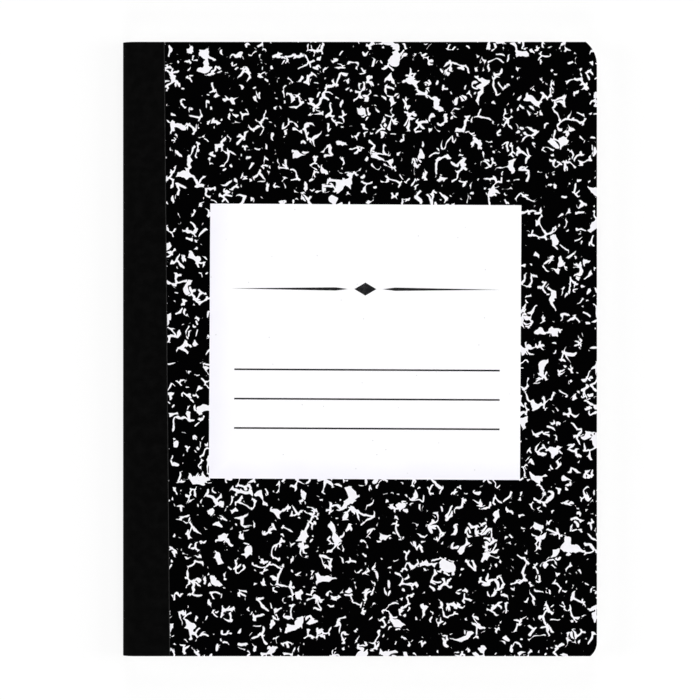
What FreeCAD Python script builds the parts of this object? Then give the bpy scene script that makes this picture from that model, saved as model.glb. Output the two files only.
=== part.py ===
import FreeCAD, Part
import math
import os
import random
import Sketcher

# Composition notebook, lying closed on its back cover. Sizes are in millimetres.
# The spine runs along Y at -X, the head is at +Y and the front cover faces +Z.
# One thick section of folded sheets is sewn through its fold to a wrapped card cover.
# A cloth tape hides the stitches, and each cover opens about the spine's outermost line.

SIZES = [
    ("cover_width", 190.8, "spine's outermost line to the trimmed fore-edge"),
    ("cover_length", 247.0, "head to foot, all layers trimmed together"),
    ("block_thickness", 8.4, "100 leaves, sewn and pressed"),
    ("page_gap", 0.15, "air between the leaves and the card"),
    ("card_thickness", 0.6, "printed cover card"),
    ("tape_thickness", 0.2, "spine cloth with its glue"),
    ("tape_width", 44.5, "cloth strip before it is wrapped"),
    ("tape_reach_head", 17.0, "spine to the tape's front edge at the head"),
    ("tape_reach_foot", 19.2, "the same at the foot, as the strip lies askew"),
    ("head_corner_radius", 12.0, "die-cut arc, tangent to the fore-edge"),
    ("head_corner_cut", 4.5, "length that the arc takes off the head edge"),
    ("foot_corner_radius", 7.2, "die-cut arc, tangent to the fore-edge"),
    ("foot_corner_cut", 2.7, "length that the arc takes off the foot edge"),
    ("thread_diameter", 0.45, "sewing thread"),
    ("needle_clearance", 0.1, "room round the thread, on the radius"),
    ("stitch_length", 12.0, "along the fold"),
    ("stitch_margin", 9.0, "least distance from the trimmed edge to a stitch"),
    ("label_width", 125.1, "title label, across the cover"),
    ("label_height", 110.5, "title label, along the spine"),
    ("label_thickness", 0.05, "label paper"),
    ("label_right", 2.2, "label's centre, right of the cover's"),
    ("label_up", 2.9, "label's centre, above the cover's"),
    ("label_turn", -0.3, "degrees, clockwise as the reader sees it"),
    ("ink_thickness", 0.03, "printed lines"),
    ("writing_line_length", 106.7, "lines for name and subject"),
    ("writing_line_width", 0.65, "lines for name and subject"),
    ("writing_line_right", 0.85, "their centre, right of the label's"),
    ("writing_line_drop", 11.3, "first line, below the label's centre"),
    ("writing_line_spacing", 11.8, "line to line"),
    ("ornament_width", 108.0, "swelled rule in the heading's place"),
    ("ornament_depth", 1.3, "swelled rule at its widest"),
    ("ornament_gap", 7.0, "centre to the near tips of the rule"),
    ("ornament_swell", 12.0, "centre to where the rule is widest"),
    ("ornament_lozenge_length", 8.8, "across the cover"),
    ("ornament_lozenge_height", 5.2, "along the spine"),
    ("ornament_up", 21.2, "rule's centre line, above the label's centre"),
    ("rule_spacing", 8.7, "wide-ruled pages, line to line"),
    ("rule_width", 0.3, "ruled line"),
    ("rule_head", 32.0, "head edge to the first ruled line"),
    ("rule_foot", 9.0, "least distance from the last ruled line to the foot"),
    ("rule_fold_clear", 0.6, "ruled lines stop short of the rounded fold"),
    ("margin_line_inset", 31.75, "spine to the margin line"),
    ("print_thickness", 0.04, "white of the marbled print"),
    ("large_fleck_reach", 6.6, "marbling: centre to the longest tip"),
    ("middle_fleck_reach", 4.3, "marbling: centre to the longest tip"),
    ("small_fleck_reach", 2.6, "marbling: centre to the longest tip"),
]

# Marbling: a fleck's reach, the tips that it may have, and tries for each square millimetre
FLECK_KINDS = [
    ("large_fleck_reach", range(4, 6), 0.0032),
    ("middle_fleck_reach", range(3, 4), 0.0075),
    ("small_fleck_reach", range(2, 3), 0.0085),
]
CLEAR_SHARE = 0.84
WAIST_SHARE = (0.26, 0.48)
TIP_SHARE = (0.6, 1.0)
STRAY_SHARE = 0.28
SMALLEST_FLECK_AREA = 0.8
FRONT_PRINT_SEED = 11
BACK_PRINT_SEED = 23
THREAD_FLATS = 8

HALF_WIDTH = "Sizes.cover_width / 2"
HALF_LENGTH = "Sizes.cover_length / 2"
HALF_BLOCK = "Sizes.block_thickness / 2"
CARD_INNER = f"({HALF_BLOCK} + Sizes.page_gap)"
CARD_OUTER = f"({CARD_INNER} + Sizes.card_thickness)"
SPINE_RADIUS = f"({CARD_OUTER} + Sizes.tape_thickness)"
SPINE_X = f"(0 - {HALF_WIDTH})"
FOLD_X = f"({SPINE_X} + {SPINE_RADIUS})"
MID_Z = SPINE_RADIUS
THREAD_SLIT = "(Sizes.thread_diameter / 2 + Sizes.needle_clearance)"
STITCHES = "floor((Sizes.cover_length - 2 * Sizes.stitch_margin) / Sizes.stitch_length)"
STITCHED_LENGTH = f"({STITCHES} * Sizes.stitch_length)"
BACK_REACH_SUM = f"(Sizes.tape_width - pi * {SPINE_RADIUS} + 2 * {SPINE_RADIUS})"

FRONT = 1
BACK = -1
TOUCH = 0.001

doc = FreeCAD.newDocument("composition_notebook")
sheet = doc.addObject("Spreadsheet::Sheet", "Sizes")
for row, (name, number, meaning) in enumerate(SIZES, 1):
    sheet.set(f"A{row}", name)
    sheet.set(f"B{row}", str(number))
    sheet.set(f"C{row}", meaning)
    sheet.setAlias(f"B{row}", name)
doc.recompute()


def value(expression):
    """The number that an expression on the sheet gives now."""
    result = sheet.evalExpression(expression)
    return float(getattr(result, "Value", result))


def layer(side, distance):
    """Height of a face that lies a distance from the mid-plane, towards the front or the back."""
    sign = "+" if side == FRONT else "-"
    return f"({MID_Z} {sign} {distance})"


def new_body(name):
    body = doc.addObject("PartDesign::Body", name)
    body.Label = name
    return body


def new_sketch(body, name, role, lift=None):
    """An empty sketch on one of the body's own origin planes, raised by an expression."""
    sketch = body.newObject("Sketcher::SketchObject", f"{body.Name}_{name}")
    plane = next(item for item in body.Origin.OriginFeatures if item.Role == role)
    sketch.AttachmentSupport = (plane, [""])
    sketch.MapMode = "FlatFace"
    if lift:
        sketch.setExpression("AttachmentOffset.Base.z", lift)
    return sketch


def draw_loop(sketch, corners, arcs=None):
    """Draws a closed loop whose corners are pairs of expressions.

    arcs gives, for the corner that an arc leaves, the x and y of its centre and whether it
    turns anticlockwise.
    """
    arcs = arcs or {}
    points = [FreeCAD.Vector(value(x), value(y), 0) for x, y in corners]
    ends = []
    for index, start in enumerate(points):
        finish = points[(index + 1) % len(points)]
        if index not in arcs:
            number = sketch.addGeometry(Part.LineSegment(start, finish), False)
            ends.append((number, 1, 2))
            continue
        centre_x, centre_y, anticlockwise = arcs[index]
        centre = FreeCAD.Vector(value(centre_x), value(centre_y), 0)
        first, last = (start, finish) if anticlockwise else (finish, start)
        angles = [math.atan2(point.y - centre.y, point.x - centre.x) for point in (first, last)]
        if angles[1] < angles[0]:
            angles[1] += 2 * math.pi
        circle = Part.Circle(centre, FreeCAD.Vector(0, 0, 1), start.distanceToPoint(centre))
        number = sketch.addGeometry(Part.ArcOfCircle(circle, *angles), False)
        ends.append((number, 1, 2) if anticlockwise else (number, 2, 1))
        bind(sketch, Sketcher.Constraint("DistanceX", -1, 1, number, 3, centre.x), centre_x)
    for index, (number, start_end, finish_end) in enumerate(ends):
        following, next_start, _ = ends[(index + 1) % len(ends)]
        sketch.addConstraint(
            Sketcher.Constraint("Coincident", number, finish_end, following, next_start)
        )
        for axis, place, expression in zip("XY", points[index], corners[index]):
            point = Sketcher.Constraint(f"Distance{axis}", -1, 1, number, start_end, place)
            bind(sketch, point, expression)


def bind(sketch, constraint, expression):
    number = sketch.addConstraint(constraint)
    sketch.setExpression(f"Constraints[{number}]", expression)


def add_pad(body, sketch, length, symmetric=False, downwards=False):
    pad = body.newObject("PartDesign::Pad", f"{sketch.Name}_pad")
    pad.Profile = sketch
    pad.setExpression("Length", length)
    pad.Midplane = symmetric
    pad.Reversed = downwards
    body.Tip = pad
    return pad


def add_pocket(body, sketch, length=None, symmetric=False, upwards=False):
    """Cuts a sketch away, to a length or through everything above it."""
    before = body.Shape.Volume
    pocket = body.newObject("PartDesign::Pocket", f"{sketch.Name}_pocket")
    pocket.Profile = sketch
    if length:
        pocket.setExpression("Length", length)
    else:
        pocket.Type = "ThroughAll"
    pocket.Midplane = symmetric
    pocket.Reversed = upwards
    body.Tip = pocket
    doc.recompute()
    if body.Shape.Volume >= before:
        raise RuntimeError(f"{pocket.Name} cuts nothing")
    return pocket


def add_row(body, features, sketch, direction, span, copies):
    """Repeats features along an axis of a sketch, evenly over a span."""
    row = body.newObject("PartDesign::LinearPattern", f"{sketch.Name}_row")
    row.Originals = features
    row.Direction = (sketch, [direction])
    row.setExpression("Length", span)
    row.setExpression("Occurrences", copies)
    body.Tip = row
    return row


# Corners: one die cuts both covers and the leaves, with a larger arc at the head

def corner_rise(end):
    """Height of the arc, from its tangent point on the fore-edge to the edge that it meets."""
    cut = f"Sizes.{end}_corner_cut"
    return f"sqrt({cut} * (2 * Sizes.{end}_corner_radius - {cut}))"


def trim_corners(body):
    for end, sign in (("head", ""), ("foot", "0 - ")):
        sketch = new_sketch(body, f"{end}_corner", "XY_Plane")
        edge = f"({sign}{HALF_LENGTH})"
        past_edge = f"({sign}({HALF_LENGTH} + Sizes.{end}_corner_cut))"
        tangent = f"({sign}({HALF_LENGTH} - {corner_rise(end)}))"
        centre_x = f"({HALF_WIDTH} - Sizes.{end}_corner_radius)"
        arc_end = f"({HALF_WIDTH} - Sizes.{end}_corner_cut)"
        past_fore_edge = f"({HALF_WIDTH} + Sizes.{end}_corner_cut)"
        corners = [
            (HALF_WIDTH, tangent),
            (arc_end, edge),
            (arc_end, past_edge),
            (past_fore_edge, past_edge),
            (past_fore_edge, tangent),
        ]
        draw_loop(sketch, corners, {0: (centre_x, tangent, end == "head")})
        add_pocket(body, sketch, upwards=True)


# Leaves: 50 folded sheets nested in one section, so the fold is half round

def build_page_block():
    body = new_body("page_block")
    section = new_sketch(body, "section", "XZ_Plane")
    bottom = layer(BACK, HALF_BLOCK)
    top = layer(FRONT, HALF_BLOCK)
    corners = [(HALF_WIDTH, bottom), (HALF_WIDTH, top), (FOLD_X, top), (FOLD_X, bottom)]
    draw_loop(section, corners, {2: (FOLD_X, MID_Z, True)})
    add_pad(body, section, "Sizes.cover_length", symmetric=True)
    doc.recompute()
    trim_corners(body)
    bore_for_thread(body)
    return body


def bore_for_thread(body):
    """Opens the gutter of the middle sheet and the needle holes that lead out of it."""
    gutter = new_sketch(body, "gutter", "XZ_Plane")
    low = f"({MID_Z} - {THREAD_SLIT})"
    high = f"({MID_Z} + {THREAD_SLIT})"
    left = f"({FOLD_X} - {THREAD_SLIT})"
    right = f"({FOLD_X} + {THREAD_SLIT})"
    draw_loop(gutter, [(left, low), (right, low), (right, high), (left, high)])
    add_pocket(body, gutter, f"{STITCHED_LENGTH} + 2 * {THREAD_SLIT}", symmetric=True)
    needle = new_sketch(body, "needle", "YZ_Plane", SPINE_X)
    first = f"(0 - {STITCHED_LENGTH} / 2)"
    near = f"({first} - {THREAD_SLIT})"
    far = f"({first} + {THREAD_SLIT})"
    draw_loop(needle, [(near, low), (far, low), (far, high), (near, high)])
    hole = add_pocket(body, needle, SPINE_RADIUS, upwards=True)
    add_row(body, [hole], needle, "H_Axis", STITCHED_LENGTH, f"{STITCHES} + 1")


# Thread: a running stitch, out at one hole and in at the next

def build_thread():
    outer_x = value(f"{FOLD_X} - ({CARD_INNER} + {CARD_OUTER}) / 2")
    inner_x = value(FOLD_X)
    height = value(MID_Z)
    pitch = value("Sizes.stitch_length")
    first = -value(STITCHED_LENGTH) / 2
    stations = [first + pitch * number for number in range(int(value(STITCHES)) + 1)]
    path = []
    for number, station in enumerate(stations):
        ends = (outer_x, inner_x) if number % 2 == 0 else (inner_x, outer_x)
        path += [FreeCAD.Vector(x, station, height) for x in ends]
    route = Part.makePolygon(path)
    mitred = 1
    thread = doc.addObject("Part::Feature", "sewing_thread")
    thread.Label = "sewing_thread"
    thread.Shape = route.makePipeShell([thread_section(path[0])], True, True, mitred)
    thread.Placement = FreeCAD.Placement()
    return thread


def thread_section(start):
    """The thread's outline across its first run, with flats in place of its round."""
    radius = value("Sizes.thread_diameter") / 2
    points = []
    for flat in range(THREAD_FLATS + 1):
        angle = 2 * math.pi * (flat + 0.5) / THREAD_FLATS
        points.append(start + FreeCAD.Vector(0, math.cos(angle), math.sin(angle)) * radius)
    return Part.makePolygon(points)


# Covers: one printed card, wrapped round the fold and parted here at the stitch line

def build_cover(name, side):
    body = new_body(name)
    section = new_sketch(body, "section", "XZ_Plane")
    outer = layer(side, CARD_OUTER)
    inner = layer(side, CARD_INNER)
    slit = layer(side, THREAD_SLIT)
    outer_end = f"({FOLD_X} - sqrt({CARD_OUTER} ^ 2 - {THREAD_SLIT} ^ 2))"
    inner_end = f"({FOLD_X} - sqrt({CARD_INNER} ^ 2 - {THREAD_SLIT} ^ 2))"
    corners = [
        (HALF_WIDTH, outer),
        (FOLD_X, outer),
        (outer_end, slit),
        (inner_end, slit),
        (FOLD_X, inner),
        (HALF_WIDTH, inner),
    ]
    arcs = {1: (FOLD_X, MID_Z, side == FRONT), 3: (FOLD_X, MID_Z, side == BACK)}
    draw_loop(section, corners, arcs)
    add_pad(body, section, "Sizes.cover_length", symmetric=True)
    doc.recompute()
    trim_corners(body)
    return body


# Spine tape: cloth over the card, a quarter round and a flap on each cover

def tape_reach(side, end):
    front = f"Sizes.tape_reach_{end}"
    return front if side == FRONT else f"({BACK_REACH_SUM} - {front})"


def build_tape(name, side):
    body = new_body(name)
    wrap = new_sketch(body, "wrap", "XZ_Plane")
    outer = layer(side, SPINE_RADIUS)
    inner = layer(side, CARD_OUTER)
    corners = [
        (FOLD_X, outer),
        (SPINE_X, MID_Z),
        (f"({SPINE_X} + Sizes.tape_thickness)", MID_Z),
        (FOLD_X, inner),
    ]
    arcs = {0: (FOLD_X, MID_Z, side == FRONT), 2: (FOLD_X, MID_Z, side == BACK)}
    draw_loop(wrap, corners, arcs)
    add_pad(body, wrap, "Sizes.cover_length", symmetric=True)
    flap = new_sketch(body, "flap", "XY_Plane", inner)
    corners = [
        (FOLD_X, f"(0 - {HALF_LENGTH})"),
        (f"({SPINE_X} + {tape_reach(side, 'foot')})", f"(0 - {HALF_LENGTH})"),
        (f"({SPINE_X} + {tape_reach(side, 'head')})", HALF_LENGTH),
        (FOLD_X, HALF_LENGTH),
    ]
    draw_loop(flap, corners)
    add_pad(body, flap, "Sizes.tape_thickness", downwards=side == BACK)
    return body


# Label: pasted to the front cover a little askew, with three lines to write on

def place_on_label(item, lift):
    turn = FreeCAD.Rotation(FreeCAD.Vector(0, 0, 1), value("Sizes.label_turn"))
    item.Placement = FreeCAD.Placement(FreeCAD.Vector(0, 0, 0), turn)
    item.setExpression("Placement.Base.x", "Sizes.label_right")
    item.setExpression("Placement.Base.y", "Sizes.label_up")
    item.setExpression("Placement.Base.z", lift)
    item.setExpression("Placement.Rotation.Angle", "Sizes.label_turn")


def draw_block(sketch, left, right, low, high):
    draw_loop(sketch, [(left, low), (right, low), (right, high), (left, high)])


def build_label():
    body = new_body("label_panel")
    outline = new_sketch(body, "outline", "XY_Plane")
    half_width = "Sizes.label_width / 2"
    half_height = "Sizes.label_height / 2"
    draw_block(outline, f"(0 - {half_width})", half_width, f"(0 - {half_height})", half_height)
    add_pad(body, outline, "Sizes.label_thickness")
    place_on_label(body, layer(FRONT, CARD_OUTER))
    return body


def build_writing_lines():
    body = new_body("writing_lines")
    line = new_sketch(body, "line", "XY_Plane")
    left = "(Sizes.writing_line_right - Sizes.writing_line_length / 2)"
    right = "(Sizes.writing_line_right + Sizes.writing_line_length / 2)"
    lines = 3
    span = f"{lines - 1} * Sizes.writing_line_spacing"
    last = f"(0 - Sizes.writing_line_drop - {span})"
    low = f"({last} - Sizes.writing_line_width / 2)"
    high = f"({last} + Sizes.writing_line_width / 2)"
    draw_block(line, left, right, low, high)
    pad = add_pad(body, line, "Sizes.ink_thickness")
    add_row(body, [pad], line, "V_Axis", span, str(lines))
    place_on_label(body, f"({layer(FRONT, CARD_OUTER)} + Sizes.label_thickness)")
    return body


def build_ornament():
    """A swelled rule in two halves, with a lozenge between them."""
    body = new_body("heading_ornament")
    rule = new_sketch(body, "rule", "XY_Plane")
    line = "Sizes.ornament_up"
    above = f"({line} + Sizes.ornament_depth / 2)"
    below = f"({line} - Sizes.ornament_depth / 2)"
    for sign in ("", "0 - "):
        near = f"({sign}Sizes.ornament_gap)"
        swell = f"({sign}Sizes.ornament_swell)"
        tip = f"({sign}Sizes.ornament_width / 2)"
        draw_loop(rule, [(near, line), (swell, below), (tip, line), (swell, above)])
    half_length = "Sizes.ornament_lozenge_length / 2"
    half_height = "Sizes.ornament_lozenge_height / 2"
    lozenge = [
        (f"(0 - {half_length})", line),
        ("0", f"({line} - {half_height})"),
        (half_length, line),
        ("0", f"({line} + {half_height})"),
    ]
    draw_loop(rule, lozenge)
    add_pad(body, rule, "Sizes.ink_thickness")
    place_on_label(body, f"({layer(FRONT, CARD_OUTER)} + Sizes.label_thickness)")
    return body


# Ruled pages: wide ruling and a margin line, on the first page and on the last

def page_face(side):
    return layer(side, HALF_BLOCK)


def build_ruled_lines():
    body = new_body("ruled_lines")
    count = (
        "floor((Sizes.cover_length - Sizes.rule_head - Sizes.rule_foot) / Sizes.rule_spacing)"
    )
    span = f"({count} * Sizes.rule_spacing)"
    for side, page in ((FRONT, "first_page"), (BACK, "last_page")):
        line = new_sketch(body, page, "XY_Plane", page_face(side))
        last = f"({HALF_LENGTH} - Sizes.rule_head - {span})"
        left = f"({FOLD_X} + Sizes.rule_fold_clear)"
        draw_block(line, left, HALF_WIDTH, last, f"({last} + Sizes.rule_width)")
        pad = add_pad(body, line, "Sizes.ink_thickness", downwards=side == BACK)
        add_row(body, [pad], line, "V_Axis", span, f"{count} + 1")
    return body


def build_margin_lines():
    body = new_body("margin_lines")
    left = f"({SPINE_X} + Sizes.margin_line_inset)"
    right = f"({left} + Sizes.rule_width)"
    for side, page in ((FRONT, "first_page"), (BACK, "last_page")):
        lift = f"({page_face(side)} {'+' if side == FRONT else '-'} Sizes.ink_thickness)"
        line = new_sketch(body, page, "XY_Plane", lift)
        draw_block(line, left, right, f"(0 - {HALF_LENGTH})", HALF_LENGTH)
        add_pad(body, line, "Sizes.ink_thickness", downwards=side == BACK)
    return body


# Marbling: white star-shaped flecks with hollow sides, scattered over black

def print_field(side):
    """The part of a cover's face that stays printed, between the tape and the trimmed edges."""
    fore_edge = value(HALF_WIDTH)
    edge = value(HALF_LENGTH)
    outline = []
    for end, sign in (("foot", -1), ("head", 1)):
        radius = value(f"Sizes.{end}_corner_radius")
        cut = value(f"Sizes.{end}_corner_cut")
        rise = value(corner_rise(end))
        centre = FreeCAD.Vector(fore_edge - radius, sign * (edge - rise), 0)
        half_turn = sign * math.acos((radius - cut) / radius) / 2
        middle = centre + FreeCAD.Vector(math.cos(half_turn), math.sin(half_turn), 0) * radius
        meets_edge = FreeCAD.Vector(fore_edge - cut, sign * edge, 0)
        tangent = FreeCAD.Vector(fore_edge, centre.y, 0)
        tape = FreeCAD.Vector(value(f"{SPINE_X} + {tape_reach(side, end)}"), sign * edge, 0)
        outline.append((tape, meets_edge, middle, tangent))
    foot, head = outline
    edges = [
        Part.makeLine(foot[0], foot[1]),
        Part.Arc(foot[1], foot[2], foot[3]).toShape(),
        Part.makeLine(foot[3], head[3]),
        Part.Arc(head[3], head[2], head[1]).toShape(),
        Part.makeLine(head[1], head[0]),
        Part.makeLine(head[0], foot[0]),
    ]
    return Part.Face(Part.Wire(edges))


def label_outline():
    width = value("Sizes.label_width")
    height = value("Sizes.label_height")
    outline = Part.makePlane(width, height, FreeCAD.Vector(-width / 2, -height / 2, 0))
    outline.Placement = FreeCAD.Placement(
        FreeCAD.Vector(value("Sizes.label_right"), value("Sizes.label_up"), 0),
        FreeCAD.Rotation(FreeCAD.Vector(0, 0, 1), value("Sizes.label_turn")),
    )
    return outline


def fleck_outline(draw, centre, reach, tips):
    """A star with hollow sides: a long tip, then a waist close to the centre, and so on."""
    turn = draw.uniform(0, 2 * math.pi)
    step = math.pi / tips
    points = []
    for number in range(2 * tips):
        share = WAIST_SHARE if number % 2 else TIP_SHARE
        angle = turn + step * (number + draw.uniform(-STRAY_SHARE, STRAY_SHARE))
        distance = reach * draw.uniform(*share)
        points.append(centre + FreeCAD.Vector(math.cos(angle), math.sin(angle), 0) * distance)
    return Part.Face(Part.makePolygon(points + points[:1]))


def scatter_flecks(field, seed):
    """Flat flecks that keep clear of each other, the largest first, cut off at the field's edge."""
    draw = random.Random(seed)
    box = field.BoundBox
    border = Part.Compound(field.Wires)
    placed = []
    flecks = []
    for size_name, tip_counts, tries in FLECK_KINDS:
        reach = value(f"Sizes.{size_name}")
        clear = reach * CLEAR_SHARE
        for _ in range(int(tries * box.XLength * box.YLength)):
            x = draw.uniform(box.XMin, box.XMax)
            y = draw.uniform(box.YMin, box.YMax)
            if any(math.hypot(x - near_x, y - near_y) < clear + kept for near_x, near_y, kept in placed):
                continue
            placed.append((x, y, clear))
            centre = FreeCAD.Vector(x, y, 0)
            fleck = fleck_outline(draw, centre, reach, draw.choice(tip_counts))
            if Part.Vertex(centre).distToShape(border)[0] < reach:
                flecks += fleck.common(field).Faces
            elif field.isInside(centre, TOUCH, True):
                flecks.append(fleck)
    return [fleck for fleck in flecks if fleck.Area > SMALLEST_FLECK_AREA]


def build_marbling(name, side, field, seed):
    height = value(layer(side, CARD_OUTER))
    print_layer = FreeCAD.Vector(0, 0, side * value("Sizes.print_thickness"))
    marbling = doc.addObject("Part::Feature", name)
    marbling.Label = name
    flecks = [fleck.extrude(print_layer) for fleck in scatter_flecks(field, seed)]
    marbling.Shape = Part.Compound(flecks)
    marbling.Placement = FreeCAD.Placement(FreeCAD.Vector(0, 0, height), FreeCAD.Rotation())
    return marbling


front_field = print_field(FRONT).cut(label_outline()).Faces[0]
parts = [
    build_cover("back_cover", BACK),
    build_tape("back_spine_tape", BACK),
    build_page_block(),
    build_thread(),
    build_ruled_lines(),
    build_margin_lines(),
    build_cover("front_cover", FRONT),
    build_tape("front_spine_tape", FRONT),
    build_label(),
    build_writing_lines(),
    build_ornament(),
    build_marbling("front_marbling", FRONT, front_field, FRONT_PRINT_SEED),
    build_marbling("back_marbling", BACK, print_field(BACK), BACK_PRINT_SEED),
]
doc.recompute()

failed = [item.Name for item in doc.Objects if {"Invalid", "Error"} & set(item.State)]
if failed:
    raise RuntimeError(f"objects failed: {failed}")
for part in parts:
    if part.Shape.isNull() or not part.Shape.isValid():
        raise RuntimeError(f"{part.Label} has no valid shape")

os.makedirs("parts", exist_ok=True)
for part in parts:
    part.Shape.exportStep(f"parts/{part.Label}.step")
    box = part.Shape.BoundBox
    print(
        f"{part.Label}: {len(part.Shape.Solids)} solids, {part.Shape.Volume:.1f} mm3,",
        f"x {box.XMin:.2f} to {box.XMax:.2f}, y {box.YMin:.2f} to {box.YMax:.2f},",
        f"z {box.ZMin:.3f} to {box.ZMax:.3f}",
    )
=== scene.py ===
import math
import random

import bmesh
import bpy
from bpy.props import FloatProperty, FloatVectorProperty, IntProperty, PointerProperty
from mathutils import Matrix, Vector


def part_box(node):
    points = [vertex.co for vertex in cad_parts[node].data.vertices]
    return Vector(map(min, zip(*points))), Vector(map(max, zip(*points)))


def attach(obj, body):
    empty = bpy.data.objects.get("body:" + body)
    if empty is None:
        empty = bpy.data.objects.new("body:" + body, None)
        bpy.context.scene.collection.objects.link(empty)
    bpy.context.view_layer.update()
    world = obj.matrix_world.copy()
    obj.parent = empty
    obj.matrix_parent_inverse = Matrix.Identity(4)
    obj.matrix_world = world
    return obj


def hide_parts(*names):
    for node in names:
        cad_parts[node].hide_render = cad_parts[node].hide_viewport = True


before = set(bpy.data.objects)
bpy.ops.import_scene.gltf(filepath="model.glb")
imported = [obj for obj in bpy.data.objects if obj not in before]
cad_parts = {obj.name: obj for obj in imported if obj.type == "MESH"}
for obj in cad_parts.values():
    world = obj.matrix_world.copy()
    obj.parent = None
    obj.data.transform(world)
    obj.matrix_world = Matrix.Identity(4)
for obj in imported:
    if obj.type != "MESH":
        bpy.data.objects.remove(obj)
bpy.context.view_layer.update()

bl_info = {
    "name": "Composition notebook",
    "version": (1, 0, 0),
    "blender": (4, 5, 0),
    "location": "3D View > Sidebar > Notebook",
    "description": "Marbled card covers, spine cloth, leaves, stitches and label round the packed frame",
    "category": "Object",
}

# Lengths are in metres. The book lies on its back cover, with the spine along Y at -X.

tape_low, tape_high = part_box("front_spine_tape")
card_low, card_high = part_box("front_cover")
page_low, page_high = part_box("page_block")
thread_low, thread_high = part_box("sewing_thread")

SPINE_X = tape_low.x
MIDDLE_Z = tape_low.z
HALF_LENGTH = tape_high.y
FORE_EDGE = card_high.x
SPINE_RADIUS = tape_high.z - MIDDLE_Z
CARD_RADIUS = card_high.z - MIDDLE_Z
PAGE_RADIUS = page_high.z - MIDDLE_Z
FOLD_X = SPINE_X + SPINE_RADIUS
FOLD_LINE = Vector((FOLD_X, 0, MIDDLE_Z))
FRONT = 1
BACK = -1

# The cloth strip lies a little askew: spine to its cut edge, at the foot and at the head
TAPE_REACH = {FRONT: (0.0192, 0.0170), BACK: (0.01942, 0.02162)}
LABEL_CENTRE = (0.0022, 0.0029)
LABEL_HALF = (0.06255, 0.05525)
LABEL_TURN = math.radians(-0.3)

# How far the covers stop short of the sewing thread, and where the thread starts to bend, in
# its radii from each hole
SLIT_CLEARANCE = 0.0001
THREAD_BEND = 1.6
TRIM_SEED = 7

# Where the photograph's camera stands, over the cover
CAMERA_PLACE = (-0.00388, -0.00039, 1.5738)
CAMERA_LENS = 200
CAMERA_CLIP_END = 20
# Keeps the floor from sharing a plane with the underside
FLOOR_GAP = 0.00002


class NotebookSizes(bpy.types.PropertyGroup):
    card_thickness: FloatProperty(
        name="Card", description="Thickness of the cover card", default=0.0006, unit="LENGTH"
    )
    cloth_thickness: FloatProperty(
        name="Spine cloth", description="Thickness of the cloth and its glue", default=0.0002,
        unit="LENGTH",
    )
    print_thickness: FloatProperty(
        name="Print", description="Thickness of the marbled paper", default=0.00002, unit="LENGTH"
    )
    sheets: IntProperty(
        name="Folded sheets", description="Sheets in the sewn section, two leaves each",
        default=50, min=2,
    )
    sheet_share: FloatProperty(
        name="Paper share", description="Share of a sheet's room that its paper fills",
        default=0.8, min=0.1, max=0.95, subtype="FACTOR",
    )
    trim_spread: FloatProperty(
        name="Trim spread", description="How far a sheet may stop short of the trimmed edge",
        default=0.00007, unit="LENGTH",
    )
    head_corner_radius: FloatProperty(
        name="Head corner", description="Arc of the die at the head", default=0.012, unit="LENGTH"
    )
    head_corner_cut: FloatProperty(
        name="Head cut", description="Length that the arc takes off the head edge",
        default=0.0045, unit="LENGTH",
    )
    foot_corner_radius: FloatProperty(
        name="Foot corner", description="Arc of the die at the foot", default=0.0072, unit="LENGTH"
    )
    foot_corner_cut: FloatProperty(
        name="Foot cut", description="Length that the arc takes off the foot edge",
        default=0.0027, unit="LENGTH",
    )
    stitch_length: FloatProperty(
        name="Stitch", description="Length of one stitch along the fold", default=0.012,
        unit="LENGTH",
    )
    stitches: IntProperty(name="Stitches", description="Stitches along the fold", default=19)
    thread_diameter: FloatProperty(
        name="Thread", description="Diameter of the sewing thread", default=0.00045, unit="LENGTH"
    )


def colour_property(name, description, default):
    return FloatVectorProperty(
        name=name, description=description, default=default, subtype="COLOR", size=3, min=0, max=1
    )


class NotebookColours(bpy.types.PropertyGroup):
    print_black: colour_property("Print black", "Ground of the marbling", (0.0003, 0.0003, 0.0004))
    print_white: colour_property("Print white", "Flecks of the marbling", (0.895, 0.888, 0.925))
    cloth: colour_property("Spine cloth", "Dyed book cloth", (0.0019, 0.0019, 0.0019))
    cloth_edge: colour_property("Cloth edge", "Bare fibres at the cut edge", (0.028, 0.028, 0.028))
    card_core: colour_property("Card core", "Cut edge of the cover card", (0.50, 0.47, 0.42))
    lining: colour_property("Lining", "Unprinted inside of the cover", (0.80, 0.79, 0.76))
    leaf: colour_property("Leaves", "Writing paper", (0.86, 0.86, 0.84))
    ruling: colour_property("Ruling", "Ruled lines", (0.30, 0.50, 0.76))
    margin: colour_property("Margin", "Margin line", (0.78, 0.25, 0.30))
    label: colour_property("Label", "Title label's paper", (0.985, 0.983, 0.998))
    ink: colour_property("Ink", "Print on the label", (0.004, 0.004, 0.005))
    thread: colour_property("Thread", "Sewing thread", (0.80, 0.78, 0.72))


class NotebookStudio(bpy.types.PropertyGroup):
    lamp_power: FloatProperty(
        name="Lamps", description="Power of each side lamp", default=10.15, unit="POWER"
    )
    lamp_size: FloatProperty(
        name="Lamp size", description="Side of each lamp's square", default=0.7, unit="LENGTH"
    )
    fill: FloatProperty(
        name="Fill", description="Light that comes from all round", default=0.12,
        min=0, max=1, subtype="FACTOR",
    )
    lamp_reach: FloatProperty(
        name="Lamp reach", description="From the book's middle to below each lamp", default=1.25,
        unit="LENGTH",
    )
    lamp_height: FloatProperty(
        name="Lamp height", description="From the floor to each lamp", default=0.75, unit="LENGTH"
    )
    floor_reach: FloatProperty(
        name="Floor reach", description="From the floor's middle to its edges", default=1.4,
        unit="LENGTH",
    )
    floor_glow: FloatProperty(
        name="Floor glow", description="Share of plain white in the floor that the camera sees",
        default=0.8, min=0, max=1, subtype="FACTOR",
    )


# Materials


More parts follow.
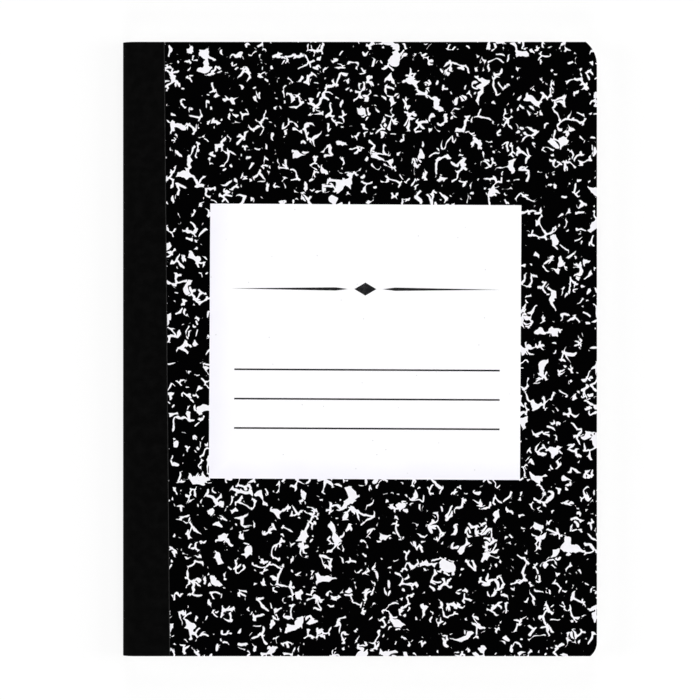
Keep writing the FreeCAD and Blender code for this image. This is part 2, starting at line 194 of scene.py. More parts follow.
class Wire:
    """A node's output, on which sums are written as ordinary expressions."""

    def __init__(self, shade, socket):
        self.shade = shade
        self.socket = socket

    def math(self, operation, *values):
        return self.shade.node("Math", {"operation": operation}, dict(enumerate(values)))

    def __add__(self, other):
        return self.math("ADD", self, other)

    __radd__ = __add__

    def __sub__(self, other):
        return self.math("SUBTRACT", self, other)

    def __rsub__(self, other):
        return self.math("SUBTRACT", other, self)

    def __mul__(self, other):
        return self.math("MULTIPLY", self, other)

    __rmul__ = __mul__

    def __truediv__(self, other):
        return self.math("DIVIDE", self, other)

    def __rtruediv__(self, other):
        return self.math("DIVIDE", other, self)

    def __abs__(self):
        return self.math("ABSOLUTE", self)

    def min(self, other):
        return self.math("MINIMUM", self, other)

    def max(self, other):
        return self.math("MAXIMUM", self, other)

    def soft_min(self, other, distance):
        return self.math("SMOOTH_MIN", self, other, distance)

    def soft_max(self, other, distance):
        return self.math("SMOOTH_MAX", self, other, distance)

    def sin(self):
        return self.math("SINE", self)


class Shade:
    """The nodes of one material, or of the world."""

    def __init__(self, owner):
        self.owner = owner
        owner.use_nodes = True
        self.tree = owner.node_tree
        self.tree.nodes.clear()

    def node(self, kind, settings=None, values=None, out=0):
        """Adds a node: its settings first, then the values or links of its sockets."""
        made = self.tree.nodes.new("ShaderNode" + kind)
        for name, setting in (settings or {}).items():
            setattr(made, name, setting)
        for name, given in (values or {}).items():
            if isinstance(given, Wire):
                self.tree.links.new(given.socket, made.inputs[name])
            else:
                made.inputs[name].default_value = given
        return Wire(self, made.outputs[out]) if made.outputs else None

    def place(self):
        return self.node("TexCoord", out="Object")

    def attribute(self, name, out="Vector"):
        return self.node("Attribute", {"attribute_name": name}, out=out)

    def parts(self, vector):
        """The three numbers of a vector."""
        split = self.node("SeparateXYZ", values={0: vector}).socket.node
        return [Wire(self, socket) for socket in split.outputs]

    def shift(self, vector, x, y):
        return self.node("VectorMath", {"operation": "ADD"}, {0: vector, 1: (x, y, 0)})

    def stretch(self, vector, x, y, z):
        return self.node("VectorMath", {"operation": "MULTIPLY"}, {0: vector, 1: (x, y, z)})

    def noise(self, vector, scale, detail, dimensions="3D", out=0):
        return self.node(
            "TexNoise", {"noise_dimensions": dimensions},
            {"Vector": vector, "Scale": scale, "Detail": detail}, out,
        )

    def cells(self, vector, scale, feature="F1"):
        """Distance to the nearest of many scattered points or, for DISTANCE_TO_EDGE, to a border."""
        return self.node(
            "TexVoronoi", {"voronoi_dimensions": "2D", "feature": feature},
            {"Vector": vector, "Scale": scale}, "Distance",
        )

    def warp(self, vector, scale, amount):
        """The vector moved about by noise, so that what is drawn on it bends."""
        drift = self.noise(vector, scale, 1.0, "2D", "Color")
        drift = self.node("VectorMath", {"operation": "SUBTRACT"}, {0: drift, 1: (0.5, 0.5, 0.5)})
        drift = self.node("VectorMath", {"operation": "SCALE"}, {0: drift, "Scale": amount})
        return self.node("VectorMath", {"operation": "ADD"}, {0: vector, 1: drift})

    def between(self, value, low, high, first=0.0, last=1.0):
        """The value's place between low and high, as a number from first to last."""
        return self.node(
            "MapRange", {"clamp": True},
            {"Value": value, "From Min": low, "From Max": high, "To Min": first, "To Max": last},
        )

    def mix(self, share, first, last):
        """A colour between two colours, which a Mix node takes at 6 and 7 and gives at 2."""
        first, last = [
            item if isinstance(item, Wire) else (*item, 1.0) for item in (first, last)
        ]
        return self.node("Mix", {"data_type": "RGBA"}, {0: share, 6: first, 7: last}, 2)

    def bump(self, height, distance, strength):
        return self.node(
            "Bump", values={"Height": height, "Distance": distance, "Strength": strength}
        )

    def surface(self, colour, roughness, normal, specular):
        """Finishes a material. Its specular level is the same all over the surface."""
        values = {
            "Base Color": colour, "Roughness": roughness, "Normal": normal,
            "Specular IOR Level": specular,
        }
        return self.finish(self.node("BsdfPrincipled", values=values))

    def finish(self, shader, output="OutputMaterial"):
        self.node(output, values={"Surface": shader})
        return self.owner


def new_shade(name):
    return Shade(bpy.data.materials.new(name))


# Marbling: white is what sets of round black bubbles leave between them. A scale is the number
# of cells in a metre, and a threshold is a bubble's radius in cells.

# Scale of each noise that bends the pattern, and how far it bends it
DRIFTS = ((140, 0.0036), (380, 0.0014))
# A slow noise that makes some parts whiter than others
TIDE_SCALE = 45
TIDE_DEPTH = 0.3
# The set of bubbles that leaves the large flecks
FLECK_SCALE = 170
FLECK_THRESHOLD = 0.625
# Scale and threshold of each set that eats into the flecks, and how far it spares thick ones
BUBBLES = ((220, 0.44, 0.9), (370, 0.44, 1.4), (660, 0.40, 2.6))
# Specks are left between two sets of bubbles
SPECKS = ((340, 0.69), (580, 0.35))
# Each net of threads: its scale, the scale and threshold of its patches, and how fast it swells
NETS = ((190, 150, 0.585, 0.028), (310, 190, 0.635, 0.028))
# In metres: half a thread's greatest width, how far corners round where shapes meet, what all
# white then loses along its edge, and half the width of that soft edge
THREAD_HALF_WIDTH = 0.00075
ROUNDING = 0.00031
THINNING = 0.00033
PRINT_EDGE = 0.00004
# Where on the endless marbling each cover's paper is cut
PRINT_START = {FRONT: (0.31, 0.47), BACK: (1.43, 0.71)}


def outside_bubbles(shade, place, scale, threshold):
    """How far a place lies outside the bubbles of one set, in metres."""
    return (shade.cells(place, scale) - threshold) / scale


def marbling(shade, place):
    """White where positive: star-shaped flecks, specks and fine threads."""
    drifted = place
    for scale, amount in DRIFTS:
        drifted = shade.warp(drifted, scale, amount)
    tide = (shade.noise(place, TIDE_SCALE, detail=1.0, dimensions="2D") - 0.5) * TIDE_DEPTH
    white = outside_bubbles(shade, drifted, FLECK_SCALE, tide + FLECK_THRESHOLD)
    for scale, threshold, spare in BUBBLES:
        bubble = outside_bubbles(shade, drifted, scale, threshold)
        white = white.soft_min(bubble + white.max(0.0) * spare, ROUNDING)
    first, second = [outside_bubbles(shade, drifted, *bubbles) for bubbles in SPECKS]
    white = white.soft_max(first.soft_min(second, ROUNDING), ROUNDING)
    for scale, patch_scale, threshold, swelling in NETS:
        border = shade.cells(drifted, scale, "DISTANCE_TO_EDGE") / scale
        patches = shade.noise(drifted, patch_scale, detail=1.0, dimensions="2D") - threshold
        threads = (patches * swelling).min(THREAD_HALF_WIDTH) - border
        white = white.soft_max(threads, ROUNDING)
    return white - THINNING


def fibres(shade, place, scale):
    """Felted paper fibres: fine noise drawn out along two directions."""
    along = shade.noise(shade.stretch(place, 1.0, 0.35, 1.0), scale, detail=3.0)
    across = shade.noise(shade.stretch(place, 0.35, 1.0, 1.0), scale * 0.8, detail=3.0)
    return along.max(across)


def tinted(colour, share):
    """The same colour, darker or lighter."""
    return [part * share for part in colour]


def marbled_paper(colours, name, side):
    """The covers' printed paper, its white a little mottled and its black a little grainy."""
    shade = new_shade(name)
    place = shade.shift(shade.place(), *PRINT_START[side])
    white = shade.between(marbling(shade, place), -PRINT_EDGE, PRINT_EDGE)
    grain = fibres(shade, place, scale=2600)
    mottle = shade.noise(place, scale=700, detail=3.0)
    pale = shade.mix(
        shade.between(mottle, 0.35, 0.7), tinted(colours.print_white, 0.965), colours.print_white
    )
    dark = shade.mix(
        shade.between(grain, 0.45, 0.8), colours.print_black, tinted(colours.print_black, 1.8)
    )
    return shade.surface(
        shade.mix(white, dark, pale),
        roughness=0.5 + white * 0.12 + (mottle - 0.5) * 0.1,
        normal=shade.bump(grain * 0.6 + white * 0.4, distance=0.000012, strength=0.5),
        specular=0.01,
    )


def printed_card(colours):
    """Black ink on the card, outside, where it goes round the spine and under the cloth."""
    shade = new_shade("printed card")
    place = shade.place()
    grain = fibres(shade, place, scale=2600)
    scuffs = shade.between(shade.noise(place, scale=900, detail=4.0), 0.68, 0.8)
    return shade.surface(
        shade.mix(scuffs, colours.print_black, (0.004, 0.004, 0.004)),
        roughness=0.5 + scuffs * 0.2,
        normal=shade.bump(grain, distance=0.00001, strength=0.5),
        specular=0.01,
    )


def card_core(colours):
    """The cut edge: layers of grey pulp with a few darker shreds."""
    shade = new_shade("card core")
    place = shade.place()
    layers = shade.noise(shade.stretch(place, 0.08, 0.08, 1.0), scale=9000, detail=2.0)
    shreds = shade.between(shade.noise(place, scale=3200, detail=4.0), 0.6, 0.75)
    pulp = shade.mix(layers, tinted(colours.card_core, 0.82), colours.card_core)
    return shade.surface(
        shade.mix(shreds, pulp, tinted(colours.card_core, 0.45)),
        roughness=0.9 - layers * 0.1,
        normal=shade.bump(layers + shreds, distance=0.00003, strength=0.6),
        specular=0.2,
    )


def lining_paper(colours):
    """The unprinted inside of the card, a little mottled by the glue and the board behind it."""
    shade = new_shade("lining")
    place = shade.place()
    grain = fibres(shade, place, scale=1800)
    cloud = shade.noise(place, scale=45, detail=4.0)
    flecks = shade.between(shade.noise(place, scale=1500, detail=2.0), 0.72, 0.78)
    pulp = shade.mix(cloud, tinted(colours.lining, 0.94), colours.lining)
    return shade.surface(
        shade.mix(flecks * 0.35, pulp, tinted(colours.lining, 0.55)),
        roughness=0.72 + cloud * 0.1,
        normal=shade.bump(grain, distance=0.00002, strength=0.5),
        specular=0.25,
    )


# Cloth: the distance from thread to thread, and how far the fraying reaches in from the cut
THREAD_PITCH = 0.00042
FRAY_FROM = 0.00026
FRAY_TO = 0.00042
FRAY_SPREAD = 0.0005


def book_cloth(colours):
    """Plain-woven, filled and dyed cloth, with bare fibres where it was cut, and painted shade in the
    weave's hollows.
    """
    shade = new_shade("spine cloth")
    unrolled = shade.attribute("unrolled")
    across, along, _ = shade.parts(shade.warp(unrolled, scale=220, amount=0.00025))
    warp = (across * (math.pi / THREAD_PITCH)).sin()
    weft = (along * (math.pi / THREAD_PITCH)).sin()
    over = warp * weft
    warp_height = abs(warp) * (0.5 + over * 0.5)
    weft_height = abs(weft) * (0.5 - over * 0.5)
    slub = shade.noise(shade.stretch(unrolled, 0.15, 1.0, 1.0), scale=1500, detail=2.0)
    weave = warp_height.max(weft_height) * (0.75 + slub * 0.5)
    filling = shade.noise(unrolled, scale=260, detail=4.0)
    from_cut = shade.attribute("to_edge", "Fac") + (slub - 0.5) * FRAY_SPREAD
    frayed = shade.between(from_cut, FRAY_FROM, FRAY_TO, 1.0, 0.0)
    # Painted shade: the cloth darker where the weave sinks between its threads
    shaded_weave = shade.mix(weave, tinted(colours.cloth, 0.62), colours.cloth)
    rubbed = shade.between(filling, 0.4, 0.7) * weave
    # Rubbed wear on the raised threads, over the painted shade
    worn_and_shaded = shade.mix(rubbed, shaded_weave, tinted(colours.cloth, 2.4))
    return shade.surface(
        shade.mix(frayed * (0.4 + weave * 0.6), worn_and_shaded, colours.cloth_edge),
        roughness=0.88 + (filling - 0.5) * 0.2 - weave * 0.06,
        normal=shade.bump(weave + filling * 0.3, distance=0.00006, strength=0.7),
        specular=0.02,
    )


def cut_cloth(colours):
    """The cut side of the cloth: thread ends and dried glue."""
    shade = new_shade("cut cloth")
    ends = shade.noise(shade.stretch(shade.place(), 1.0, 1.0, 0.4), scale=5200, detail=3.0)
    return shade.surface(
        shade.mix(shade.between(ends, 0.4, 0.7), colours.cloth, colours.cloth_edge),
        roughness=0.8 + ends * 0.1,
        normal=shade.bump(ends, distance=0.00005, strength=0.8),
        specular=0.15,
    )


def writing_paper(colours):
    """Smooth wood-free paper, each sheet a hair lighter or darker than the next."""
    shade = new_shade("leaf paper")
    place = shade.place()
    grain = fibres(shade, place, scale=3000)
    cloud = shade.noise(place, scale=120, detail=4.0)
    tone = shade.attribute("sheet_tone", "Fac")
    pale = shade.mix(cloud * 0.5, colours.leaf, tinted(colours.leaf, 0.955))
    return shade.surface(
        shade.mix(tone, pale, tinted(colours.leaf, 0.80)),
        roughness=0.78 + (grain - 0.5) * 0.1,
        normal=shade.bump(grain, distance=0.000012, strength=0.45),
        specular=0.25,
    )


# Label: the painted shade, a cool grey, along two of its sides, and how far it reaches in, more or less
SHADE_SHARES = (0.92, 0.912, 0.96)
SHADE_FROM = 0.0005
SHADE_TO = 0.009
SHADE_SPREAD = 0.006


def label_paper(colours):
    """Coated white paper with painted shade, a cool grey, towards the spine and the foot, and a few
    specks.
    """
    shade = new_shade("label paper")
    place = shade.place()
    grain = fibres(shade, place, scale=2400)
    cloud = shade.noise(place, scale=60, detail=3.0)
    x, y, _ = shade.parts(shade.shift(place, -LABEL_CENTRE[0], -LABEL_CENTRE[1]))
    # Painted shade: the label greyer and cooler towards the spine and the foot
    inset = (x + LABEL_HALF[0]).min(y + LABEL_HALF[1]) + (cloud - 0.5) * SHADE_SPREAD
    painted_shade = shade.between(inset, SHADE_FROM, SHADE_TO, 1.0, 0.0)
    middle = shade.mix(cloud, tinted(colours.label, 0.992), colours.label)
    shaded_label = [part * share for part, share in zip(colours.label, SHADE_SHARES)]
    specks = shade.between(shade.cells(place, scale=95), 0.018, 0.03, 1.0, 0.0)
    dust = specks * shade.between(shade.noise(place, scale=70, detail=1.0), 0.55, 0.6)
    return shade.surface(
        shade.mix(dust * 0.5, shade.mix(painted_shade, middle, shaded_label), (0.55, 0.55, 0.58)),
        roughness=0.55 + (grain - 0.5) * 0.1,
        normal=shade.bump(grain + cloud * 0.4, distance=0.000012, strength=0.4),
        specular=0.3,
    )


def printing_ink(colour, name, soak):
    """Ink on paper, thinner where the fibres stand up. soak is how much paper shows there."""
    shade = new_shade(name)
    place = shade.place()
    grain = fibres(shade, place, scale=3400)
    press = shade.noise(place, scale=420, detail=3.0)
    thin = shade.between(grain + press * 0.5, 0.75, 1.15) * soak
    soaked = [part + (0.9 - part) * 0.45 for part in colour]
    return shade.surface(
        shade.mix(thin, colour, soaked),
        roughness=0.5 + press * 0.15,
        normal=shade.bump(grain, distance=0.00001, strength=0.4),
        specular=0.2,
    )


PLY_PITCH = 0.00042
PLY_SLANT = 0.9


def twisted_thread(colours):
    """Bleached cotton in two plies, which show as slanting grooves, with painted shade in the grooves.
    """
    shade = new_shade("sewing thread")
    place = shade.place()
    x, y, z = shade.parts(place)
    plies = abs(((y + (x + z) * PLY_SLANT) * (math.pi / PLY_PITCH)).sin())
    lint = shade.noise(place, scale=6000, detail=3.0)
    # Painted shade: the thread darker in the grooves between the plies
    return shade.surface(
        shade.mix(plies, tinted(colours.thread, 0.55), colours.thread),
        roughness=0.8 + lint * 0.1,
        normal=shade.bump(plies + lint * 0.3, distance=0.00006, strength=0.9),
        specular=0.25,
    )


# Shapes

COVERS = ((FRONT, "front"), (BACK, "back"))
COVER_ARC_STEPS = 18
SHEET_ARC_STEPS = 12
CORNER_CUTS = 10
CARD_SOFTENING = 0.00006
CLOTH_SOFTENING = 0.00003
SOFTENED_FROM = math.radians(60)
SHARP_FROM = math.radians(35)
SAME_PLACE = 1e-7


def everything(mesh):
    return mesh.verts[:] + mesh.edges[:] + mesh.faces[:]


def foot_and_head(x):
    """One x for a straight line, or the two ends of a slanting one."""
    return x if isinstance(x, tuple) else (x, x)


def straight_edge(mesh, x, z, half_length=HALF_LENGTH):
    """An edge along the spine's direction. A pair of x values slants it, from foot to head."""
    foot, head = foot_and_head(x)
    ends = [
        mesh.verts.new((foot, -half_length, z)), mesh.verts.new((head, half_length, z))
    ]
    return mesh.edges.new(ends)


def draw_out(mesh, edge, x):
    """Draws a flat out from an edge, as far as x. A pair of x values slants its far edge."""
    foot, head = foot_and_head(x)
    drawn = bmesh.ops.extrude_edge_only(mesh, edges=[edge])["geom"]
    for vertex in (item for item in drawn if isinstance(item, bmesh.types.BMVert)):
        vertex.co.x = foot if vertex.co.y < 0 else head
    return next(item for item in drawn if isinstance(item, bmesh.types.BMEdge))


def roll(mesh, edge, angle, steps=COVER_ARC_STEPS):
    """Rolls a sheet on from an edge, round the fold, and gives its last edge."""
    rolled = bmesh.ops.spin(
        mesh, geom=[edge, *edge.verts], cent=FOLD_LINE, axis=(0, 1, 0), angle=angle,
        steps=steps, use_merge=False, use_duplicate=False,
    )["geom_last"]
    return next(item for item in rolled if isinstance(item, bmesh.types.BMEdge))


def face_out(mesh):
    """Turns the faces of an open sheet away from the book's middle."""
    bmesh.ops.remove_doubles(mesh, verts=mesh.verts, dist=SAME_PLACE)
    bmesh.ops.recalc_face_normals(mesh, faces=mesh.faces)
    widest = max(mesh.faces, key=lambda face: face.calc_area())
    if widest.normal.z * (widest.calc_center_median().z - MIDDLE_Z) < 0:
        bmesh.ops.reverse_faces(mesh, faces=mesh.faces)


def trim_corners(mesh, sizes):
    """Cuts the fore-edge corners with the die's arcs, each as a run of tangent cuts."""
    arcs = (
        (FRONT, sizes.head_corner_radius, sizes.head_corner_cut),
        (BACK, sizes.foot_corner_radius, sizes.foot_corner_cut),
    )
    for end, radius, cut in arcs:
        rise = math.sqrt(cut * (2 * radius - cut))
        centre = Vector((FORE_EDGE - radius, end * (HALF_LENGTH - rise), 0))
        sweep = math.acos((radius - cut) / radius)
        for number in range(CORNER_CUTS):
            angle = sweep * (number + 0.5) / CORNER_CUTS
            outward = Vector((math.cos(angle), end * math.sin(angle), 0))
            bmesh.ops.bisect_plane(
                mesh, geom=everything(mesh), plane_co=centre + outward * radius,
                plane_no=outward, clear_outer=True,
            )


def add_piece(mesh, name, body, materials, nodes, wall=None, edge=None):
    """Makes a finished piece of a sheet: its wall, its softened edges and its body.

    wall gives the thickness and the side that it grows to, as Solidify takes them.
    """
    data = bpy.data.meshes.new(name)
    mesh.to_mesh(data)
    mesh.free()
    for material in materials:
        data.materials.append(material)
    piece = bpy.data.objects.new(name, data)
    bpy.context.scene.collection.objects.link(piece)
    if wall:
        thicken = piece.modifiers.new("wall", "SOLIDIFY")
        thicken.thickness, thicken.offset = wall
        thicken.use_even_offset = True
        thicken.material_offset = min(1, len(materials) - 1)
        thicken.material_offset_rim = len(materials) - 1
    if edge:
        soften = piece.modifiers.new("edge", "BEVEL")
        soften.width = edge
        soften.segments = 2
        soften.limit_method = "ANGLE"
        soften.angle_limit = SOFTENED_FROM
    finished = piece.evaluated_get(bpy.context.evaluated_depsgraph_get())
    piece.data = bpy.data.meshes.new_from_object(finished)
    piece.data.name = name
    piece.modifiers.clear()
    bpy.data.meshes.remove(data)
    for face in piece.data.polygons:
        face.use_smooth = True
    piece.data.set_sharp_from_angle(angle=SHARP_FROM)
    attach(piece, body)
    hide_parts(*nodes)
    return piece


def tape_line(side):
    """The x of the cloth's cut edge, at the foot and at the head."""
    return tuple(SPINE_X + reach for reach in TAPE_REACH[side])


class NOTEBOOK_OT_boards(bpy.types.Operator):
    """Card covers: flat boards that roll a quarter turn round the spine"""

    bl_idname = "notebook.boards"
    bl_label = "Cover boards"

    def execute(self, context):
        sizes = context.scene.notebook_sizes
        colours = context.scene.notebook_colours
        materials = [printed_card(colours), lining_paper(colours), card_core(colours)]
        slit = thread_high.z - MIDDLE_Z + SLIT_CLEARANCE
        quarter = math.pi / 2 - math.asin(slit / CARD_RADIUS)
        for side, name in COVERS:
            mesh = bmesh.new()
            fold = straight_edge(mesh, FOLD_X, MIDDLE_Z + side * CARD_RADIUS)
            draw_out(mesh, fold, FORE_EDGE)
            roll(mesh, fold, -side * quarter)
            trim_corners(mesh, sizes)
            face_out(mesh)
            add_piece(
                mesh, f"{name}_board", name, materials, [f"{name}_cover"],
                wall=(sizes.card_thickness, -1), edge=CARD_SOFTENING,
            )
        return {"FINISHED"}


class NOTEBOOK_OT_prints(bpy.types.Operator):
    """Marbled paper on both boards, from the cloth's cut edge to the trimmed edges"""

    bl_idname = "notebook.prints"
    bl_label = "Marbled paper"

    def execute(self, context):
        sizes = context.scene.notebook_sizes
        colours = context.scene.notebook_colours
        for side, name in COVERS:
            mesh = bmesh.new()
            edge = straight_edge(mesh, tape_line(side), MIDDLE_Z + side * CARD_RADIUS)
            draw_out(mesh, edge, FORE_EDGE)
            trim_corners(mesh, sizes)
            if side == FRONT:
                self.cut_round_label(mesh)
            face_out(mesh)
            material = marbled_paper(colours, f"marbled paper {name}", side)
            add_piece(
                mesh, f"{name}_print", name, [material], [f"{name}_marbling"],
                wall=(sizes.print_thickness, 1),
            )
        return {"FINISHED"}

    def cut_round_label(self, mesh):
        """Opens the paper where the label lies on the card."""
        centre = Vector((*LABEL_CENTRE, card_high.z))
        turn = Matrix.Rotation(LABEL_TURN, 3, "Z")
        sides = []
        for axis, half in zip(((1, 0, 0), (0, 1, 0)), LABEL_HALF):
            outward = turn @ Vector(axis)
            sides += [(outward, half), (-outward, half)]
        for outward, half in sides:
            bmesh.ops.bisect_plane(
                mesh, geom=everything(mesh), plane_co=centre + outward * half, plane_no=outward
            )
        covered = [
            face for face in mesh.faces
            if all((face.calc_center_median() - centre).dot(out) < half for out, half in sides)
        ]
        bmesh.ops.delete(mesh, geom=covered, context="FACES")


class NOTEBOOK_OT_spine_cloth(bpy.types.Operator):
    """Cloth strip glued round the spine, parted at the line where the covers turn"""

    bl_idname = "notebook.spine_cloth"
    bl_label = "Spine cloth"

    def execute(self, context):
        sizes = context.scene.notebook_sizes
        colours = context.scene.notebook_colours
        cloth = book_cloth(colours)
        cut = cut_cloth(colours)
        for side, name in COVERS:
            mesh = bmesh.new()
            fold = straight_edge(mesh, FOLD_X, MIDDLE_Z + side * SPINE_RADIUS)
            draw_out(mesh, fold, tape_line(side))
            roll(mesh, fold, -side * math.pi / 2)
            face_out(mesh)
            piece = add_piece(
                mesh, f"{name}_cloth", name, [cloth, cut, cut],
                [f"{name}_spine_tape"], wall=(sizes.cloth_thickness, -1), edge=CLOTH_SOFTENING,
            )
            self.unroll(piece.data, side)
        return {"FINISHED"}

    def unroll(self, data, side):
        """Stores each point's place on the flat strip, and its distance from the cut edge."""
        for kind, name in (("FLOAT_VECTOR", "unrolled"), ("FLOAT", "to_edge")):
            data.attributes.new(name, kind, "POINT")
        unrolled = data.attributes["unrolled"]
        to_edge = data.attributes["to_edge"]
        foot, head = tape_line(side)
        quarter = SPINE_RADIUS * math.pi / 2
        for number, vertex in enumerate(data.vertices):
            x, y, z = vertex.co
            if x > FOLD_X:
                across = quarter + x - FOLD_X
            else:
                across = SPINE_RADIUS * math.atan2(abs(z - MIDDLE_Z), FOLD_X - x)
            edge_x = foot + (head - foot) * (y + HALF_LENGTH) / (2 * HALF_LENGTH)
            unrolled.data[number].vector = (side * across, y, 0)
            to_edge.data[number].value = edge_x - FOLD_X + quarter - across


class NOTEBOOK_OT_leaves(bpy.types.Operator):
    """Folded sheets nested in one section, each with its own tone and trim"""

    bl_idname = "notebook.leaves"
    bl_label = "Leaves"

    def execute(self, context):
        sizes = context.scene.notebook_sizes
        draw = random.Random(TRIM_SEED)
        room = PAGE_RADIUS / sizes.sheets
        block = bmesh.new()
        tone = block.verts.layers.float.new("sheet_tone")
        for number in range(sizes.sheets):
            radius = PAGE_RADIUS - number * room
            short = draw.uniform(0, sizes.trim_spread) if number else 0
            darkness = draw.random() ** 2 if number else 0
            half_length = HALF_LENGTH - (draw.uniform(0, sizes.trim_spread) if number else 0)
            sheet = bmesh.new()
            fold = straight_edge(sheet, FOLD_X, MIDDLE_Z + radius, half_length)
            draw_out(sheet, fold, FORE_EDGE - short)
            under = roll(sheet, fold, -math.pi, SHEET_ARC_STEPS)
            draw_out(sheet, under, FORE_EDGE - short)
            trim_corners(sheet, sizes)
            face_out(sheet)
            folded = bpy.data.meshes.new("sheet")
            sheet.to_mesh(folded)
            sheet.free()
            before = len(block.verts)
            block.from_mesh(folded)
            bpy.data.meshes.remove(folded)
            block.verts.ensure_lookup_table()
            for vertex in block.verts[before:]:
                vertex[tone] = darkness
        add_piece(
            block, "leaf_sheets", "leaves",
            [writing_paper(context.scene.notebook_colours)], ["page_block"],
            wall=(room * sizes.sheet_share, -1),
        )
        return {"FINISHED"}


class NOTEBOOK_OT_stitches(bpy.types.Operator):
    """Running stitch through the fold, out at one hole and in at the next"""

    bl_idname = "notebook.stitches"
    bl_label = "Stitches"

    def execute(self, context):
        sizes = context.scene.notebook_sizes
        radius = sizes.thread_diameter / 2
        outer_x = thread_low.x + radius
        inner_x = thread_high.x - radius
        turn = radius * THREAD_BEND
        route = []
        for number in range(sizes.stitches + 1):
            station = (number - sizes.stitches / 2) * sizes.stitch_length
            first, last = (outer_x, inner_x) if number % 2 == 0 else (inner_x, outer_x)
            inward = math.copysign(turn, last - first)
            if number:
                route.append((first, station - turn))
            route += [(first, station), (first + inward, station)]
            route += [(last - inward, station), (last, station)]
            if number < sizes.stitches:
                route.append((last, station + turn))
        curve = bpy.data.curves.new("stitches", "CURVE")
        curve.dimensions = "3D"
        curve.bevel_depth = radius
        curve.bevel_resolution = 2
        curve.use_fill_caps = True
        curve.resolution_u = 5
        line = curve.splines.new("NURBS")
        line.points.add(len(route) - 1)
        for point, (x, y) in zip(line.points, route):
            point.co = (x, y, MIDDLE_Z, 1)
        line.order_u = 3
        line.use_endpoint_u = True
        tube = bpy.data.objects.new("stitches", curve)
        mesh = bmesh.new()
        mesh.from_mesh(tube.to_mesh())
        bpy.data.objects.remove(tube)
        bpy.data.curves.remove(curve)
        bmesh.ops.remove_doubles(mesh, verts=mesh.verts, dist=SAME_PLACE)
        bmesh.ops.recalc_face_normals(mesh, faces=mesh.faces)
        add_piece(
            mesh, "stitches", "leaves",
            [twisted_thread(context.scene.notebook_colours)], ["sewing_thread"],
        )
        return {"FINISHED"}


class NOTEBOOK_OT_printed_lines(bpy.types.Operator):
    """Paper and ink for the label, its lines and ornament, and the ruling of the leaves"""

    bl_idname = "notebook.printed_lines"
    bl_label = "Label and ruling"

    def execute(self, context):
        colours = context.scene.notebook_colours
        black = printing_ink(colours.ink, "label ink", soak=0.12)
        finishes = {
            "label_panel": label_paper(colours),
            "writing_lines": black,
            "heading_ornament": black,
            "ruled_lines": printing_ink(colours.ruling, "ruling ink", soak=0.6),
            "margin_lines": printing_ink(colours.margin, "margin ink", soak=0.6),
        }
        for node, material in finishes.items():
            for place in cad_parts[node].material_slots:
                place.material = material
        return {"FINISHED"}


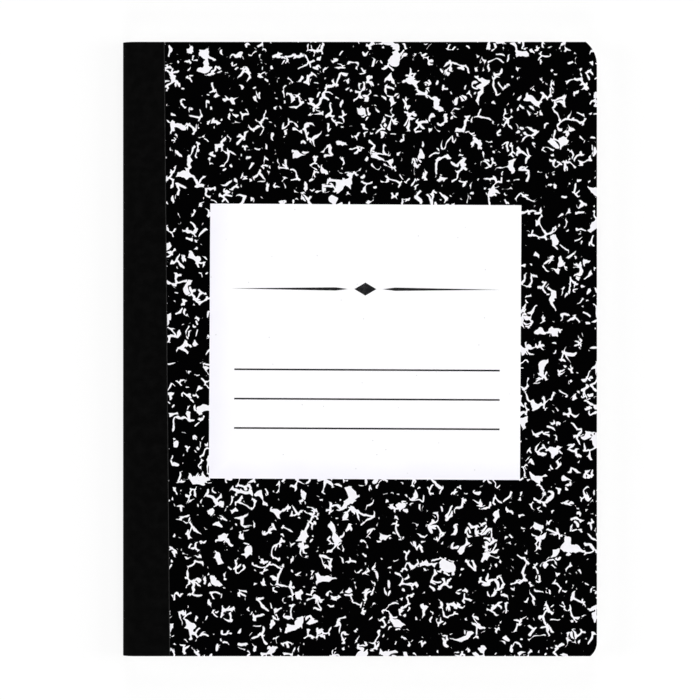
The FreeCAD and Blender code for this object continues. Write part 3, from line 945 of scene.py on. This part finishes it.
class NOTEBOOK_OT_studio(bpy.types.Operator):
    """White floor, even soft light and the photograph's camera"""

    bl_idname = "notebook.studio"
    bl_label = "Studio"

    def execute(self, context):
        studio = context.scene.notebook_studio
        self.add_floor(studio)
        self.add_lamps(studio)
        self.set_world(studio)
        lens = bpy.data.cameras.new("camera")
        lens.lens = CAMERA_LENS
        lens.clip_end = CAMERA_CLIP_END
        camera = bpy.data.objects.new("camera", lens)
        camera.location = CAMERA_PLACE
        context.scene.collection.objects.link(camera)
        context.scene.camera = camera
        context.scene.view_settings.view_transform = "Standard"
        return {"FINISHED"}

    def add_floor(self, studio):
        mesh = bmesh.new()
        bmesh.ops.create_grid(
            mesh, x_segments=1, y_segments=1, size=studio.floor_reach,
            matrix=Matrix.Translation((0, 0, -FLOOR_GAP)),
        )
        data = bpy.data.meshes.new("floor")
        mesh.to_mesh(data)
        mesh.free()
        shade = new_shade("floor")
        mottle = shade.noise(shade.place(), scale=30, detail=2.0)
        white = shade.mix(mottle, (0.99, 0.99, 0.99), (1, 1, 1))
        paint = shade.node("BsdfDiffuse", values={"Color": white})
        glow = shade.node("Emission", values={"Color": (1, 1, 1, 1), "Strength": 1.0})
        seen = shade.node("LightPath", out="Is Camera Ray") * studio.floor_glow
        mixed = shade.node("MixShader", values={0: seen, 1: paint, 2: glow})
        data.materials.append(shade.finish(mixed))
        floor = bpy.data.objects.new("floor", data)
        bpy.context.scene.collection.objects.link(floor)

    def add_lamps(self, studio):
        for name, x, y in (("left", -1, 0), ("right", 1, 0), ("head", 0, 1), ("foot", 0, -1)):
            light = bpy.data.lights.new(f"lamp_{name}", "AREA")
            light.size = studio.lamp_size
            light.energy = studio.lamp_power
            lamp = bpy.data.objects.new(f"lamp_{name}", light)
            place = Vector((x * studio.lamp_reach, y * studio.lamp_reach, studio.lamp_height))
            lamp.location = place
            lamp.rotation_euler = place.to_track_quat("Z", "Y").to_euler()
            bpy.context.scene.collection.objects.link(lamp)

    def set_world(self, studio):
        shade = Shade(bpy.data.worlds.new("studio"))
        rays = shade.node("LightPath", out="Is Camera Ray")
        strength = shade.between(rays, 0.0, 1.0, studio.fill, 1.0)
        sky = shade.node("Background", values={"Color": (1, 1, 1, 1), "Strength": strength})
        bpy.context.scene.world = shade.finish(sky, "OutputWorld")


STEPS = (
    NOTEBOOK_OT_studio,
    NOTEBOOK_OT_boards,
    NOTEBOOK_OT_prints,
    NOTEBOOK_OT_spine_cloth,
    NOTEBOOK_OT_leaves,
    NOTEBOOK_OT_stitches,
    NOTEBOOK_OT_printed_lines,
)
SETTINGS = (
    ("notebook_sizes", NotebookSizes),
    ("notebook_colours", NotebookColours),
    ("notebook_studio", NotebookStudio),
)


class NOTEBOOK_PT_build(bpy.types.Panel):
    """The notebook's sizes and colours, and the steps that make it"""

    bl_label = "Composition notebook"
    bl_idname = "NOTEBOOK_PT_build"
    bl_space_type = "VIEW_3D"
    bl_region_type = "UI"
    bl_category = "Notebook"

    def draw(self, context):
        for name, group in SETTINGS:
            box = self.layout.box()
            for key in group.__annotations__:
                box.prop(getattr(context.scene, name), key)
        for step in STEPS:
            self.layout.operator(step.bl_idname)


def register():
    for _, group in SETTINGS:
        bpy.utils.register_class(group)
    for name, group in SETTINGS:
        setattr(bpy.types.Scene, name, PointerProperty(type=group))
    for item in (*STEPS, NOTEBOOK_PT_build):
        bpy.utils.register_class(item)


def unregister():
    for item in (NOTEBOOK_PT_build, *reversed(STEPS)):
        bpy.utils.unregister_class(item)
    for name, group in reversed(SETTINGS):
        delattr(bpy.types.Scene, name)
        bpy.utils.unregister_class(group)


def main():
    register()
    bpy.ops.notebook.studio()
    bpy.ops.notebook.boards()
    bpy.ops.notebook.prints()
    bpy.ops.notebook.spine_cloth()
    bpy.ops.notebook.leaves()
    bpy.ops.notebook.stitches()
    bpy.ops.notebook.printed_lines()


if __name__ == "__main__":
    main()
